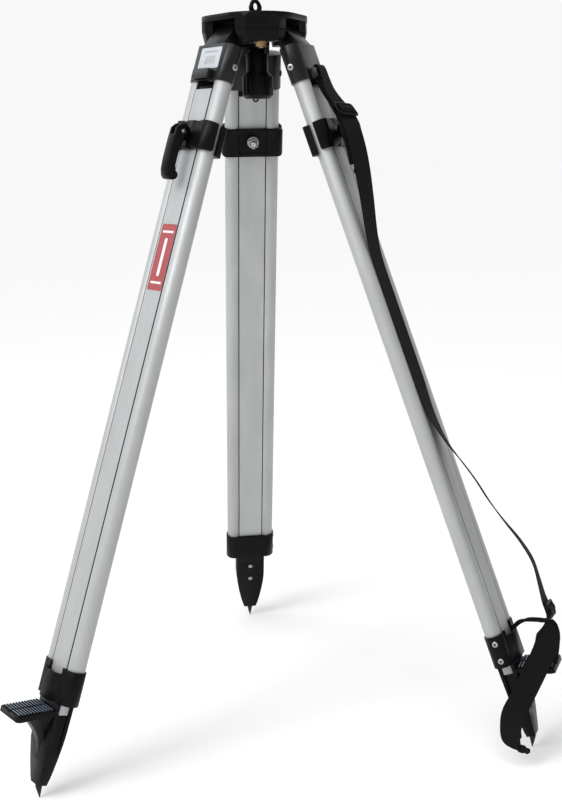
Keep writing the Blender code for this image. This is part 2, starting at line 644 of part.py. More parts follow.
def make_screw_knob():
    """The hand knob on the screw: a collar, a waist and a fluted grip, bored through."""
    top = ARM_LOW - GAP
    grip = turned([(STUD_BORE, top), (12.1 * MM, top), (12.1 * MM, top - 7.8 * MM),
                   (15.2 * MM, top - 8.4 * MM), (15.2 * MM, top - 32.3 * MM),
                   (21.3 * MM, top - 38.7 * MM), (21.3 * MM, top - 62.5 * MM),
                   (16.7 * MM, top - 67.3 * MM), (STUD_BORE, top - 67.3 * MM),
                   (STUD_BORE, top)], 36)
    flutes = []
    for i in range(12):
        a = tau * i / 12
        at = (23.4 * MM * cos(a), 23.4 * MM * sin(a), 0)
        flutes.append(rod(3.4 * MM, top - 64 * MM, top - 37 * MM, "z", at, 10))
    return cut(grip, *flutes)


def make_retaining_ring():
    """The clip ring that keeps the screw in the arm."""
    low = -CAP_DEPTH
    return turned([(STUD_BORE, low + 1.8 * MM), (12.5 * MM, low + 1.8 * MM),
                   (12.5 * MM, low), (STUD_BORE, low), (STUD_BORE, low + 1.8 * MM)], 24)


def make_plumb_hook():
    """The plumb line's hook: a screw-in shank with a bent wire that hangs just below the knob."""
    end = -42 * MM - GAP
    wire_r, bend_r = 1.3 * MM, 3.2 * MM
    bend_z = end - 45 * MM
    shank = rod(5 * MM, end - 6 * MM, end, sides=12)
    hook = [(0, 0, end - 4 * MM), (0, 0, end - 24 * MM)]
    for x, z in arc(-bend_r, bend_z, bend_r, 0, -180, 10):
        hook.append((x, 0, z))
    hook.append((-2 * bend_r, 0, bend_z + 3 * MM))
    return join(shank, wire(hook, wire_r))


def make_stud_cap():
    """The thread protector on top of the screw, with its pull ring."""
    low, end = 15.7 * MM, 25.2 * MM + GAP
    shell = turned([(0, end + 1.7 * MM), (12 * MM, end + 1.7 * MM), (13 * MM, end + 0.7 * MM),
                    (13 * MM, low), (STUD_BORE, low), (STUD_BORE, end), (0, end)], 24)
    loop = [(7.6 * MM * cos(radians(a)), 0, end + 6.6 * MM + 7.6 * MM * sin(radians(a)))
            for a in range(-50, 231, 20)]
    return join(shell, wire(loop, 1.4 * MM))


# ---- strap -------------------------------------------------------------------------------

def smooth(stations, pieces):
    """Points on a Catmull-Rom curve through the stations, each a tuple of numbers."""
    points = [stations[0]] + list(stations) + [stations[-1]]
    result = []
    for p0, p1, p2, p3 in zip(points, points[1:], points[2:], points[3:]):
        for i in range(pieces):
            t = i / pieces
            result.append(tuple(
                0.5 * (2 * b + (c - a) * t + (2 * a - 5 * b + 4 * c - d) * t * t
                       + (3 * b - a - 3 * c + d) * t ** 3)
                for a, b, c, d in zip(p0, p1, p2, p3)))
    result.append(tuple(stations[-1]))
    return result


def band_frames(route, pieces):
    """Centre, across vector, normal and width at points along a flat band's route."""
    samples = smooth(route, pieces)
    centres = [Vector((x, y, -down)) * MM for x, y, down, *_ in samples]
    frames = []
    for i, sample in enumerate(samples):
        ahead = centres[min(i + 1, len(centres) - 1)] - centres[max(i - 1, 0)]
        ahead.normalize()
        turn = radians(sample[3])
        level = Vector((cos(turn), -sin(turn), 0))
        across = (level - ahead * level.dot(ahead)).normalized()
        frames.append((centres[i], across, across.cross(ahead), sample[4]))
    return frames


def make_band(frames):
    """A flat closed band lofted along its frames."""
    edit = bmesh.new()
    rings = []
    for centre, across, normal, width in frames:
        side, lift = across * width / 2, normal * STRAP_T / 2
        corners = (side + lift, lift - side, -side - lift, side - lift)
        rings.append([edit.verts.new(centre + corner) for corner in corners])
    for first, second in zip(rings, rings[1:]):
        for i in range(4):
            j = (i + 1) % 4
            edit.faces.new((first[i], first[j], second[j], second[i]))
    edit.faces.new(rings[0])
    edit.faces.new(list(reversed(rings[-1])))
    bmesh.ops.triangulate(edit, faces=edit.faces)
    bmesh.ops.recalc_face_normals(edit, faces=edit.faces)
    mesh = bpy.data.meshes.new("band")
    edit.to_mesh(mesh)
    edit.free()
    return mesh_object("band", mesh)


def make_slider(width):
    """A three-bar slider, flat in X and Y, with its webbing slots across."""
    side, slot_side = width / 2, width / 2 - 3 * MM
    outline = rounded_box(-side, -8.5 * MM, side, 8.5 * MM, 3 * MM)
    slots = [rounded_box(-slot_side, low, slot_side, low + 3.8 * MM, MM, 2)
             for low in (-5.8 * MM, 2 * MM)]
    return prism([outline] + slots, 0, 2.6 * MM)


def on_band(solid, frame, lift):
    """Lay a flat solid on a band, its X across the band and its Z along the band's normal."""
    centre, across, normal, _ = frame
    turn = Matrix((across, normal.cross(across), normal)).transposed().to_4x4()
    solid.data.transform(Matrix.Translation(centre + normal * lift) @ turn)
    return solid


def build_strap(leg_frame):
    """The carry strap, its two sliders, and the tie strap with its tether and end clip."""
    main = band_frames(STRAP_ROUTE, 2)
    place(make_band(main), "carry_strap", "webbing", leg_frame)
    tie = band_frames(TIE_ROUTE, 3)
    tether = wire([Vector((x, y, -down)) * MM for x, y, down in smooth(TETHER_ROUTE, 3)], 2 * MM)
    place(join(make_band(tie), tether), "tie_strap", "webbing", leg_frame)
    clear = STRAP_T / 2 + 2 * MM
    slider_at = min(main[len(main) // 4:], key=lambda f: abs(f[0].z + UPPER_SLIDER_Z))
    place(on_band(make_slider(STRAP_W + 6 * MM), slider_at, clear), "slider_upper", "plastic",
          leg_frame)
    place(on_band(make_slider(STRAP_W + 4 * MM), main[-2], clear), "slider_lower", "plastic",
          leg_frame)
    clip = prism([rounded_box(-9 * MM, -4 * MM, 9 * MM, 9 * MM, 2 * MM, 2)], -2 * MM, 2 * MM)
    hook = prism([rounded_box(-3 * MM, 6 * MM, 3 * MM, 19 * MM, 2 * MM, 2)], -1.5 * MM, 1.5 * MM)
    centre, across, normal, width = tie[-1]
    end = (centre + normal.cross(across) * 5 * MM, across, normal, width)
    place(on_band(join(clip, hook), end, 0), "tie_clip", "plastic", leg_frame)


# ---- assembly ----------------------------------------------------------------------------

def build_legs():
    """Makes each leg piece once and places it on the three legs."""
    upper = {"shoulder": (make_shoulder(), "casting"), "tube_a": (make_tube(1), "aluminium"),
             "tube_b": (make_tube(-1), "aluminium"), "collar": (make_collar(), "plastic")}
    lower = {"plank": (make_plank(), "aluminium"), "plank_cap": (make_plank_cap(), "plastic"),
             "outer_jaw": (make_outer_jaw(), "plastic"), "inner_jaw": (make_inner_jaw(), "plastic"),
             "foot": (make_foot(), "casting")}
    bolt, lever, spike = make_clamp_bolt(), make_clamp_lever(), make_spike()
    lever_pin = rod(LEVER_PIN_R, -8.6 * MM, 8.6 * MM, "x", sides=16)
    pin = rod(PIN_R, -PIN_HALF, PIN_HALF, "x", sides=16)
    eye = (0, LEVER_PIN_Y, -BOLT_Z)
    for leg, azimuth in LEGS.items():
        a = radians(azimuth)
        spot = (HINGE_R * cos(a), HINGE_R * sin(a), HINGE_Z)
        hinge = empty(f"{leg}_hinge", spot, (SPLAY, 0, a - pi / 2))
        middle = empty(f"{leg}_leg_frame", (0, HINGE_OFF, 0), parent=hinge)
        slide = empty(f"{leg}_slide", parent=middle)
        clamp = empty(f"{leg}_clamp_axis", eye, parent=slide)
        place(pin, f"hinge_pin_{leg}", "steel", None, spot, (0, 0, a - pi / 2), keep=True)
        for name, (solid, kind) in upper.items():
            place(solid, f"{name}_{leg}", kind, middle, keep=True)
        for name, (solid, kind) in lower.items():
            place(solid, f"{name}_{leg}", kind, slide, keep=True)
        if leg == "right":
            build_strap(middle)
        place(bolt, f"clamp_bolt_{leg}", "steel", clamp, keep=True)
        place(lever_pin, f"lever_pin_{leg}", "steel", clamp, keep=True)
        place(lever, f"clamp_lever_{leg}", "casting", clamp, keep=True)
        place(spike, f"spike_{leg}", "steel", slide, (0, SPIKE_Y, -FOOT_END), (-SPLAY, 0, 0),
              keep=True)


def build_head():
    """The head casting, the hinge caps and their studs, the centring arm and the screw."""
    place(make_head_plate(), "head_plate", "casting")
    cap = make_cap()
    for name, azimuth in BLOCKS.items():
        turn = radians(azimuth - 90)
        place(cap, f"hinge_cap_{name}", "casting", None, (0, 0, HINGE_Z), (0, 0, turn), keep=True)
        spacer = ARM_T + GAP if name == "left" else 0
        a = radians(azimuth)
        spot = (CAP_BOLT_R * cos(a), CAP_BOLT_R * sin(a), HINGE_Z)
        place(make_cap_bolt(spacer), f"cap_bolt_{name}", "brass", None, spot, (0, 0, turn))
        if name == "left":
            arm_axis = empty("arm_pivot", spot, (0, 0, a + pi))
            place(make_arm(), "centring_arm", "casting", arm_axis)
    screw = empty("screw_axis", (0, 0, HINGE_Z))
    place(make_screw_stud(), "screw_stud", "brass", screw)
    place(make_screw_knob(), "screw_knob", "plastic", screw)
    place(make_retaining_ring(), "retaining_ring", "steel", screw)
    place(make_plumb_hook(), "plumb_hook", "steel", screw)
    place(make_stud_cap(), "stud_cap", "plastic", screw)


clear_scene()
PARTS = new_collection("surveyor_tripod")
CUTTERS = new_collection("cutters")
build_head()
build_legs()
for leftover in list(CUTTERS.objects):
    bpy.data.objects.remove(leftover, do_unlink=True)
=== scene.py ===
"""Looks of the surveyor's tripod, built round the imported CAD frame. Metres, +Z up."""
import json
from math import cos, radians, sin, tau

import bmesh
import bpy
from mathutils import Matrix, Vector

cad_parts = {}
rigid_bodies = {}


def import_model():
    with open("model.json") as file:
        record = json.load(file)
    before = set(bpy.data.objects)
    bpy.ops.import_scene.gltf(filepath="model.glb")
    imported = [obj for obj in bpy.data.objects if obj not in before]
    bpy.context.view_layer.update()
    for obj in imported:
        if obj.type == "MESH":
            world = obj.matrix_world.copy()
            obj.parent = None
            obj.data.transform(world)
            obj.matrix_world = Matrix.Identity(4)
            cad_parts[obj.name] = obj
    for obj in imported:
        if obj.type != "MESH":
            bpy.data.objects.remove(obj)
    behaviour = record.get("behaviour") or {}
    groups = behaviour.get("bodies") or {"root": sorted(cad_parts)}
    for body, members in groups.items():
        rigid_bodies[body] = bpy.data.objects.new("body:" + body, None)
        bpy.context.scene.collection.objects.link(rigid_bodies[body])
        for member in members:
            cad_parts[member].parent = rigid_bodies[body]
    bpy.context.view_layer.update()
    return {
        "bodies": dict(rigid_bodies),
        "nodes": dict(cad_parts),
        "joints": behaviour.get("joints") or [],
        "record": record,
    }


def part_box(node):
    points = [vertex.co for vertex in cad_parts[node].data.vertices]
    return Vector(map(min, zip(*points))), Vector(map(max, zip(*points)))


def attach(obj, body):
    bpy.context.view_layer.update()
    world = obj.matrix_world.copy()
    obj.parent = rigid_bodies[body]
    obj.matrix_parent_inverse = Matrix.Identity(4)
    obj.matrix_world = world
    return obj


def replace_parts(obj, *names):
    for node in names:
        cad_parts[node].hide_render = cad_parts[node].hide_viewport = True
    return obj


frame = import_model()

MM = 0.001
LEGS = ("rear", "left", "right")
HINGE_OFF = 9.5 * MM            # a leg's hinge pin, inside of the leg's middle plane

# ---- camera: where it stands and how it is turned ----------------------------------------------
CAMERA_DISTANCE = 1.7395        # from the tripod's axis, on the ground
CAMERA_HEIGHT = 0.8347
CAMERA_AROUND = radians(6.307)  # clockwise from -Y, seen from above
CAMERA_HEADING = radians(9.757) # clockwise from +Y
CAMERA_PITCH = radians(11.704)
CAMERA_ROLL = radians(-1.038)
CAMERA_LENS = 55.52
CAMERA_SHIFT = -0.0738

# ---- leg frame: X across, Y out of the outer face, distances down from the hinge pins ----------
SHOULDER_FACE = 13.7 * MM       # the outer face of a shoulder
PLANK_FACE = 7.3 * MM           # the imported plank's faces, under its raised panels
PANEL_HALF, PANEL_FACE, PANEL_BACK = 19.2 * MM, 10.1 * MM, 9.5 * MM
PANEL_TOP, PANEL_END = 86.5 * MM, 903 * MM
PANEL_ROOT = 0.5 * MM           # how deep the panels reach into the plank
PANEL_EDGE = 0.4 * MM
# Black strips in the seams between the panels and the tubes: painted shade of the gaps.
SEAM_SHADE_IN, SEAM_SHADE_OUT, SEAM_SHADE_STEP = 19.22 * MM, 20.2 * MM, 0.1 * MM
SEAT_IN, SEAT_OUT, SEAT_LOW, SEAT_HIGH = 8.7 * MM, 31 * MM, 11.5 * MM, 16.75 * MM
JAW_TOP, JAW_END, JAW_EDGE = 132.2 * MM, 169.0 * MM, 1.6 * MM
BOLT_DOWN, NUT_FACE = 151 * MM, 25.7 * MM

# ---- step plate --------------------------------------------------------------------------------
TREAD_NEAR, TREAD_FAR = 15.5 * MM, 64.0 * MM
TREAD_DOWN, TREAD_ROOT, TREAD_FALL = 922.6 * MM, 15 * MM, 10 / 50.3
TREAD_HALF, TREAD_GROOVE, RIBS = 22.5 * MM, 1.6 * MM, 12
RIB_START, RIB_SHARE = 0.3, 0.42    # shares of the pitch
# The second number is the thickness of the painted highlight layer on the rib tops.
RIB_RISE, RIB_HIGHLIGHT_T = 3.0 * MM, 0.12 * MM

# ---- screws and rivets -------------------------------------------------------------------------
# Across side, out, down, radius and the body's half width there, in millimetres.
SIDE_SCREWS = [(-1, -3, 55, 4.3, 41.1), (1, -3, 55, 4.3, 41.1), (1, 2, 876, 4.0, 41.0),
               (1, 2, 901, 4.0, 41.0)]
SCREW_RISE, SOCKET_R, SOCKET_DEPTH = 0.9 * MM, 1.7 * MM, 0.3 * MM
# Down and back, in millimetres.
FOOT_RIVETS = [(932, 12.35), (960, 11.45)]
RIVET_R, RIVET_RISE, RIVET_DIMPLE = 3.4 * MM, 1.2 * MM, 0.8 * MM

# ---- strap: across, out and down in the right leg's frame (mm), turn in degrees, width ---------
STRAP_T, SELVEDGE = 1.5 * MM, 1.6 * MM
BRIDGE_W, STRAP_W, TIE_W, GATHERED = 26 * MM, 32 * MM, 32 * MM, 9 * MM
TETHER_W, TETHER_T = 6 * MM, 4 * MM
TAIL_W, TAIL_ACROSS, TAIL_BELOW = 27 * MM, 8 * MM, 1.9 * MM
INNER_W, INNER_BELOW = 28 * MM, 1.8 * MM
UPPER_SLIDER_DOWN = 130 * MM
TAIL_END_DOWN = 207 * MM
INNER_TOP_DOWN = 88 * MM
LOWER_SLIDER_BACK = 8           # frames before the end of the strap
TAIL_START_BACK = 4             # frames before the upper slider
STRAP_ROUTE = [
    (13, 34.0, 124, 12, 30 * MM), (10.5, 27.0, 110, 8, 30 * MM), (7, 21.5, 96, 4, 28 * MM),
    (3, 18.0, 85, 1, BRIDGE_W), (0.5, 17.2, 76, 0, BRIDGE_W), (0, 17.2, 66, 0, BRIDGE_W),
    (0, 18.3, 60.8, 0, BRIDGE_W), (0, 20.7, 59.4, 0, BRIDGE_W),
    (0, 23.1, 60.8, 0, BRIDGE_W), (0, 24.4, 66, 0, BRIDGE_W),
    (1, 25.0, 78, 1, BRIDGE_W), (2, 25.5, 93, 3, 30 * MM), (5, 29.5, 108, 7, STRAP_W),
    (10, 37.0, 127, 13, STRAP_W), (15, 42.0, 141, 17, STRAP_W), (22, 44.6, 157, 20, STRAP_W),
    (25, 43.6, 184, 22, STRAP_W), (24, 39.2, 213, 20, STRAP_W), (21, 31.0, 250, 15, STRAP_W),
    (18, 21.5, 289, 10, STRAP_W), (15, 15.6, 322, 6, STRAP_W),
    (14, 14.2, 362, 5, STRAP_W), (14, 14.0, 430, 5, STRAP_W),
    (14, 14.0, 500, 5, STRAP_W), (14, 14.4, 540, 0, STRAP_W), (12, 17.4, 572, -10, STRAP_W),
    (10.5, 23.5, 600, -18, STRAP_W), (10, 32.5, 625, -22, STRAP_W),
    (9.5, 42.5, 655, -22, STRAP_W), (10, 51, 687, -22, STRAP_W), (10.4, 62, 719, -20, STRAP_W),
    (10.7, 74.6, 751, -16, STRAP_W), (10.3, 82, 782, -12, STRAP_W),
    (10.6, 81.4, 811, -8, STRAP_W), (12.5, 80.4, 836, -4, STRAP_W), (14.5, 82, 855, 0, STRAP_W),
    (15, 79.5, 866, 20, 12 * MM),
]
TIE_ROUTE = [
    (15, 79, 866, 66, GATHERED), (15.5, 76, 874, 66, 0.5 * TIE_W), (18, 71.5, 886, 66, TIE_W),
    (24, 64.5, 899, 66, TIE_W), (32, 52.5, 914, 66, TIE_W), (42, 34, 935, 66, TIE_W),
    (51, 15.5, 955, 68, TIE_W), (58.5, 0, 971, 84, TIE_W), (63.5, -8, 987, 100, TIE_W),
    (66, -10.5, 1001, 105, TIE_W), (66, -8, 1010, 100, 0.6 * TIE_W), (66, -4.5, 1016, 95, GATHERED),
]
# The tie strap's second ply, which hangs outside of the first from the lower slider.
PLY_ROUTE = [
    (12, 78, 868, 66, GATHERED), (11, 77, 877, 62, 18 * MM), (10, 73, 889, 60, 25 * MM),
    (10, 67.4, 903, 60, 26 * MM), (10, 60, 919, 62, 26 * MM), (10, 54, 931, 64, 26 * MM),
]
TETHER_ROUTE = [
    (15, 79, 866), (14, 71, 866), (10, 60, 864), (6, 46, 862.5), (3, 34, 864), (1, 26, 868),
    (0, 21.6, 871),
]

# ---- sliders, clip (in millimetres, along its own axes) and pull ring --------------------------
SLIDER_LIFT, SLIDER_BAR, SLIDER_CORNER, SLIDER_FLAT = 2.4 * MM, 1.9 * MM, 3.5 * MM, 0.8
UPPER_SLIDER, LOWER_SLIDER = (17.5 * MM, 9.5 * MM), (16.5 * MM, 9 * MM)  # half width, height
UPPER_HUMP, LOWER_HUMP = (7.5 * MM, 29 * MM), (7 * MM, 28 * MM)          # half height, width
HUMP_BASE, HUMP_RISE, HUMP_STEPS = 1.6 * MM, 4.4 * MM, 8
CLIP_AHEAD = Vector((0.93, 0.0, -0.37))
CLIP_LOW, CLIP_HIGH, CLIP_EDGE = (-2, -3.5, -5), (9, 3.5, 5), 1.5
CLIP_HOOK = [(7, 0), (9.5, 0.5), (11.5, 1.8), (14, 1.2), (15, -1.4), (13, -3.2), (10.6, -2.8)]
CLIP_HOOK_R = 2.2
RING_R, RING_BAR, RING_TURN = 7.2 * MM, 2.8 * MM, radians(38)

# ---- labels: across and down from and to, and the corners' radius, in millimetres --------------
LABEL_T, PRINT_T = 0.2 * MM, 0.05 * MM
PLANK_LABEL_FACE = PANEL_FACE - 0.05 * MM
STICKER_FACE = SHOULDER_FACE + 0.02 * MM
PLANK_LABEL = [(-18.5, 16, 271, 361, 2)]
PLANK_LABEL_MARKS = [(-14, 11.5, 280, 283, 1), (-14, 11.5, 349, 352, 1), (-4.5, 2, 290, 342, 3)]
STICKER_PLATE = [(-26, 21, 31.5, 60, 2)]
STICKER_MARKS = [(-15 + 2.2 * i, -13.8 + 2.2 * i, 43, 54, 0.2) for i in range(11)]
STICKER_MARKS += [(-18, 12, 36, 38.5, 0.6)]

# ---- studio ------------------------------------------------------------------------------------
FLOOR_RADIUS, FLOOR_DROP = 60.0, 0.3 * MM
ROOM_LIGHT, WALL_LIGHT = 0.53, 0.94
WALL_START, WALL_FULL = 0.3, 0.8        # how squarely a direction faces +Y


# ---- frames and mesh helpers -------------------------------------------------------------------

def leg_matrix(leg):
    """X across the leg, Y out of its outer face, Z up the leg, 0 at the hinge's height."""
    joints = {joint["name"]: joint for joint in frame["joints"]}
    across = Vector(joints[f"splay_{leg}"]["axis"]).normalized()
    up = -Vector(joints[f"extend_{leg}"]["axis"]).normalized()
    out = up.cross(across)
    origin = Vector(joints[f"splay_{leg}"]["pos_m"]) + out * HINGE_OFF
    turn = Matrix((across, out, up)).transposed().to_4x4()
    return Matrix.Translation(origin) @ turn


MATRIX = {leg: leg_matrix(leg) for leg in LEGS}


def add_object(name, mesh, body, material, smooth_angle=35):
    mesh.name = name
    obj = bpy.data.objects.new(name, mesh)
    bpy.context.scene.collection.objects.link(obj)
    mesh.materials.clear()
    mesh.materials.append(material)
    mesh.shade_smooth()
    mesh.set_sharp_from_angle(angle=radians(smooth_angle))
    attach(obj, body)
    return obj


def finish_mesh(edit, name, matrix=None):
    """Turns an edit mesh into a mesh with outward faces, placed by the matrix."""
    bmesh.ops.recalc_face_normals(edit, faces=edit.faces)
    mesh = bpy.data.meshes.new(name)
    edit.to_mesh(mesh)
    edit.free()
    if matrix is not None:
        mesh.transform(matrix)
    return mesh


def turn_profile(edit, profile, steps, matrix):
    """Adds a closed body turned about Z from (radius, height) points that start and end at 0."""
    rings = []
    for radius, height in profile:
        if radius == 0:
            rings.append([edit.verts.new(matrix @ Vector((0, 0, height)))])
        else:
            rings.append([edit.verts.new(matrix @ Vector((radius * cos(tau * i / steps),
                                                          radius * sin(tau * i / steps), height)))
                          for i in range(steps)])
    for low, high in zip(rings, rings[1:]):
        for i in range(steps):
            j = (i + 1) % steps
            corners = [low[i % len(low)], low[j % len(low)], high[j % len(high)],
                       high[i % len(high)]]
            unique = list(dict.fromkeys(corners))
            if len(unique) > 2:
                edit.faces.new(unique)


def smooth(stations, pieces):
    """Points on a Catmull-Rom curve through the stations, each a tuple of numbers."""
    points = [stations[0]] + list(stations) + [stations[-1]]
    result = []
    for p0, p1, p2, p3 in zip(points, points[1:], points[2:], points[3:]):
        for i in range(pieces):
            t = i / pieces
            result.append(tuple(
                0.5 * (2 * b + (c - a) * t + (2 * a - 5 * b + 4 * c - d) * t * t
                       + (3 * b - a - 3 * c + d) * t ** 3)
                for a, b, c, d in zip(p0, p1, p2, p3)))
    result.append(tuple(stations[-1]))
    return result


# ---- materials ---------------------------------------------------------------------------------

BLACK_SHEEN = 0.10              # how much the black pieces shine, against 0.5 for clear plastic


class Shader:
    """A small helper round a material's node tree."""

    def __init__(self, name, colour, roughness, metallic=0.0, **sockets):
        self.material = bpy.data.materials.new(name)
        self.material.use_nodes = True
        self.tree = self.material.node_tree
        self.principled = self.tree.nodes["Principled BSDF"]
        self.principled.inputs["Base Color"].default_value = (*colour, 1)
        self.principled.inputs["Roughness"].default_value = roughness
        self.principled.inputs["Metallic"].default_value = metallic
        for socket, value in sockets.items():
            self.principled.inputs[socket.replace("_", " ")].default_value = value
        self.height = None

    def node(self, kind, **values):
        """Adds a node; each value goes to the socket or else the setting of that name."""
        node = self.tree.nodes.new(kind)
        for key, value in values.items():
            if key in node.inputs:
                node.inputs[key].default_value = value
            else:
                setattr(node, key, value)
        return node

    def link(self, source, target):
        self.tree.links.new(source, target)

    def place(self, matrix=None, stretch=(1, 1, 1), uv=False):
        """Coordinates in metres, turned into a leg's frame and stretched."""
        coords = self.node("ShaderNodeTexCoord")
        source = coords.outputs["UV"] if uv else coords.outputs["Object"]
        mapping = self.node("ShaderNodeMapping", Scale=stretch)
        if matrix is None:
            self.link(source, mapping.inputs["Vector"])
            return mapping.outputs["Vector"]
        turn = self.node("ShaderNodeMapping",
                         Rotation=matrix.to_3x3().inverted().to_euler())
        self.link(source, turn.inputs["Vector"])
        self.link(turn.outputs["Vector"], mapping.inputs["Vector"])
        return mapping.outputs["Vector"]

    def noise(self, vector, scale, detail=3.0, roughness=0.5):
        """A noise pattern's values, with scale in cells per metre."""
        noise = self.node("ShaderNodeTexNoise", Scale=scale, Detail=detail, Roughness=roughness)
        self.link(vector, noise.inputs["Vector"])
        return noise.outputs["Fac"]

    def span(self, value, low, high, out_low, out_high):
        """The value stretched from low...high to out_low...out_high."""
        span = self.node("ShaderNodeMapRange")
        for key, number in zip(("From Min", "From Max", "To Min", "To Max"),
                               (low, high, out_low, out_high)):
            span.inputs[key].default_value = number
        self.link(value, span.inputs["Value"])
        return span.outputs["Result"]

    def colour(self, value, low, high, dark, light):
        """Blends the base colour from dark to light as the value goes from low to high."""
        ramp = self.node("ShaderNodeValToRGB")
        ramp.color_ramp.elements[0].position = low
        ramp.color_ramp.elements[1].position = high
        ramp.color_ramp.elements[0].color = (*dark, 1)
        ramp.color_ramp.elements[1].color = (*light, 1)
        self.link(value, ramp.inputs["Fac"])
        self.link(ramp.outputs["Color"], self.principled.inputs["Base Color"])

    def rough(self, value, low, high, out_low, out_high):
        """Lets the value drive the roughness."""
        self.link(self.span(value, low, high, out_low, out_high),
                  self.principled.inputs["Roughness"])

    def bump(self, value, depth, strength=1.0):
        """Adds to the surface's bump, whose full height is depth in metres."""
        bump = self.node("ShaderNodeBump", Strength=strength, Distance=depth)
        self.link(value, bump.inputs["Height"])
        if self.height is not None:
            self.link(self.height, bump.inputs["Normal"])
        self.height = bump.outputs["Normal"]
        self.link(self.height, self.principled.inputs["Normal"])


def anodised(name, matrix, colour):
    """Satin anodised extrusion: fine lines along the leg, faint handling marks."""
    shader = Shader(name, colour, 0.5, 0.48)
    lines = shader.noise(shader.place(matrix, (1, 1, 0.012)), 2600, 2)
    marks = shader.noise(shader.place(matrix, (1, 1, 0.3)), 38, 5, 0.62)
    dark = tuple(c * 0.9 for c in colour)
    shader.colour(marks, 0.32, 0.66, dark, colour)
    shader.rough(marks, 0.3, 0.7, 0.60, 0.51)
    shader.bump(lines, 0.00003, 0.5)
    return shader.material


def powder_coat(name, colour=(0.0022, 0.0023, 0.0027), sheen=BLACK_SHEEN):
    """Black powder coat on a casting: a soft orange-peel texture and slightly rubbed patches."""
    shader = Shader(name, colour, 0.36, 0.0, Specular_IOR_Level=sheen)
    vector = shader.place()
    peel = shader.noise(vector, 900, 2)
    rub = shader.noise(vector, 30, 4, 0.6)
    shader.colour(rub, 0.35, 0.75, colour, tuple(c * 1.9 for c in colour))
    shader.rough(rub, 0.3, 0.7, 0.38, 0.28)
    shader.bump(peel, 0.00012, 0.45)
    return shader.material


def moulded(name, colour=(0.0022, 0.0022, 0.0026)):
    """Black moulded plastic with a fine spark-eroded grain."""
    shader = Shader(name, colour, 0.42, 0.0, Specular_IOR_Level=BLACK_SHEEN)
    vector = shader.place()
    grain = shader.noise(vector, 2200, 2)
    cloud = shader.noise(vector, 45, 3)
    shader.colour(cloud, 0.3, 0.7, colour, tuple(c * 1.6 for c in colour))
    shader.rough(cloud, 0.3, 0.7, 0.44, 0.33)
    shader.bump(grain, 0.00008, 0.5)
    return shader.material


def metal(name, colour, roughness, wear=0.12):
    """Turned or plated metal with slight tarnish."""
    shader = Shader(name, colour, roughness, 1.0)
    vector = shader.place()
    tarnish = shader.noise(vector, 260, 4, 0.6)
    shader.colour(tarnish, 0.3, 0.7, tuple(c * (1 - 2 * wear) for c in colour), colour)
    shader.rough(tarnish, 0.3, 0.7, roughness + wear, roughness - 0.05)
    return shader.material


def woven(name, colour=(0.0022, 0.0022, 0.0024)):
    """Webbing with slanting ribs; its UVs are in metres, across and along the band."""
    shader = Shader(name, colour, 0.75, 0.0, Specular_IOR_Level=BLACK_SHEEN)
    vector = shader.place(stretch=(-0.6, 1, 1), uv=True)
    weft = shader.node("ShaderNodeTexWave", wave_type="BANDS", bands_direction="DIAGONAL",
                       Scale=190.0, Distortion=0.4, Detail=1.0)
    warp = shader.node("ShaderNodeTexWave", wave_type="BANDS", bands_direction="X",
                       Scale=550.0, Distortion=0.3, Detail=1.0)
    shader.link(vector, weft.inputs["Vector"])
    shader.link(vector, warp.inputs["Vector"])
    fuzz = shader.noise(vector, 5000, 2)
    shader.bump(weft.outputs["Fac"], 0.0004, 0.5)
    shader.bump(warp.outputs["Fac"], 0.0002, 0.5)
    shader.bump(fuzz, 0.00008, 0.5)
    shader.colour(weft.outputs["Fac"], 0.2, 0.8, colour, tuple(c * 3.5 for c in colour))
    return shader.material


def printed(name, colour, roughness=0.35):
    """Printed film on an adhesive label."""
    shader = Shader(name, colour, roughness)
    cloud = shader.noise(shader.place(), 160, 4, 0.6)
    shader.colour(cloud, 0.25, 0.8, tuple(c * 0.86 for c in colour), colour)
    shader.rough(cloud, 0.3, 0.7, roughness + 0.1, roughness)
    return shader.material


ALUMINIUM = (0.45, 0.458, 0.462)
CASTING = powder_coat("black_powder_coat")
GLOSSY_CASTING = powder_coat("semi_gloss_powder_coat", sheen=0.32)
PLASTIC = moulded("black_moulding")
# Rib tops: a lighter, bluish colour that paints the highlight they catch from above.
RIB_TOP_HIGHLIGHT = powder_coat("highlighted_rib_tops", (0.13, 0.155, 0.20))
STEEL = metal("plated_steel", (0.44, 0.43, 0.41), 0.32)
# Dark steel for pins, spikes and the plumb hook; also the dark hexes in the screw heads, which paint the
# shade inside the socket holes.
DARK_STEEL_AND_SOCKET_SHADE = metal("oiled_steel_and_socket_shade", (0.035, 0.036, 0.04), 0.34)
BRASS = metal("turned_brass", (0.33, 0.22, 0.11), 0.32)
WEBBING = woven("black_webbing")
TUBE_METAL = {leg: anodised(f"anodised_{leg}", MATRIX[leg], ALUMINIUM) for leg in LEGS}


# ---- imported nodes: softened edges and finishes -------------------------------------------------

# What each family of nodes is made of; tubes and planks take their own leg's metal.
FINISH = {
    "tube": None, "plank": None, "plank_cap": PLASTIC, "shoulder": GLOSSY_CASTING,
    "collar": PLASTIC, "outer_jaw": CASTING, "inner_jaw": PLASTIC, "clamp_lever": CASTING, "foot": CASTING,
    "head_plate": CASTING, "hinge_cap": CASTING, "centring_arm": CASTING, "screw_knob": PLASTIC,
    "stud_cap": PLASTIC, "slider": PLASTIC, "tie_clip": PLASTIC, "cap_bolt": BRASS,
    "screw_stud": BRASS, "clamp_bolt": STEEL, "lever_pin": STEEL, "hinge_pin": DARK_STEEL_AND_SOCKET_SHADE,
    "spike": DARK_STEEL_AND_SOCKET_SHADE, "retaining_ring": STEEL, "plumb_hook": DARK_STEEL_AND_SOCKET_SHADE,
}
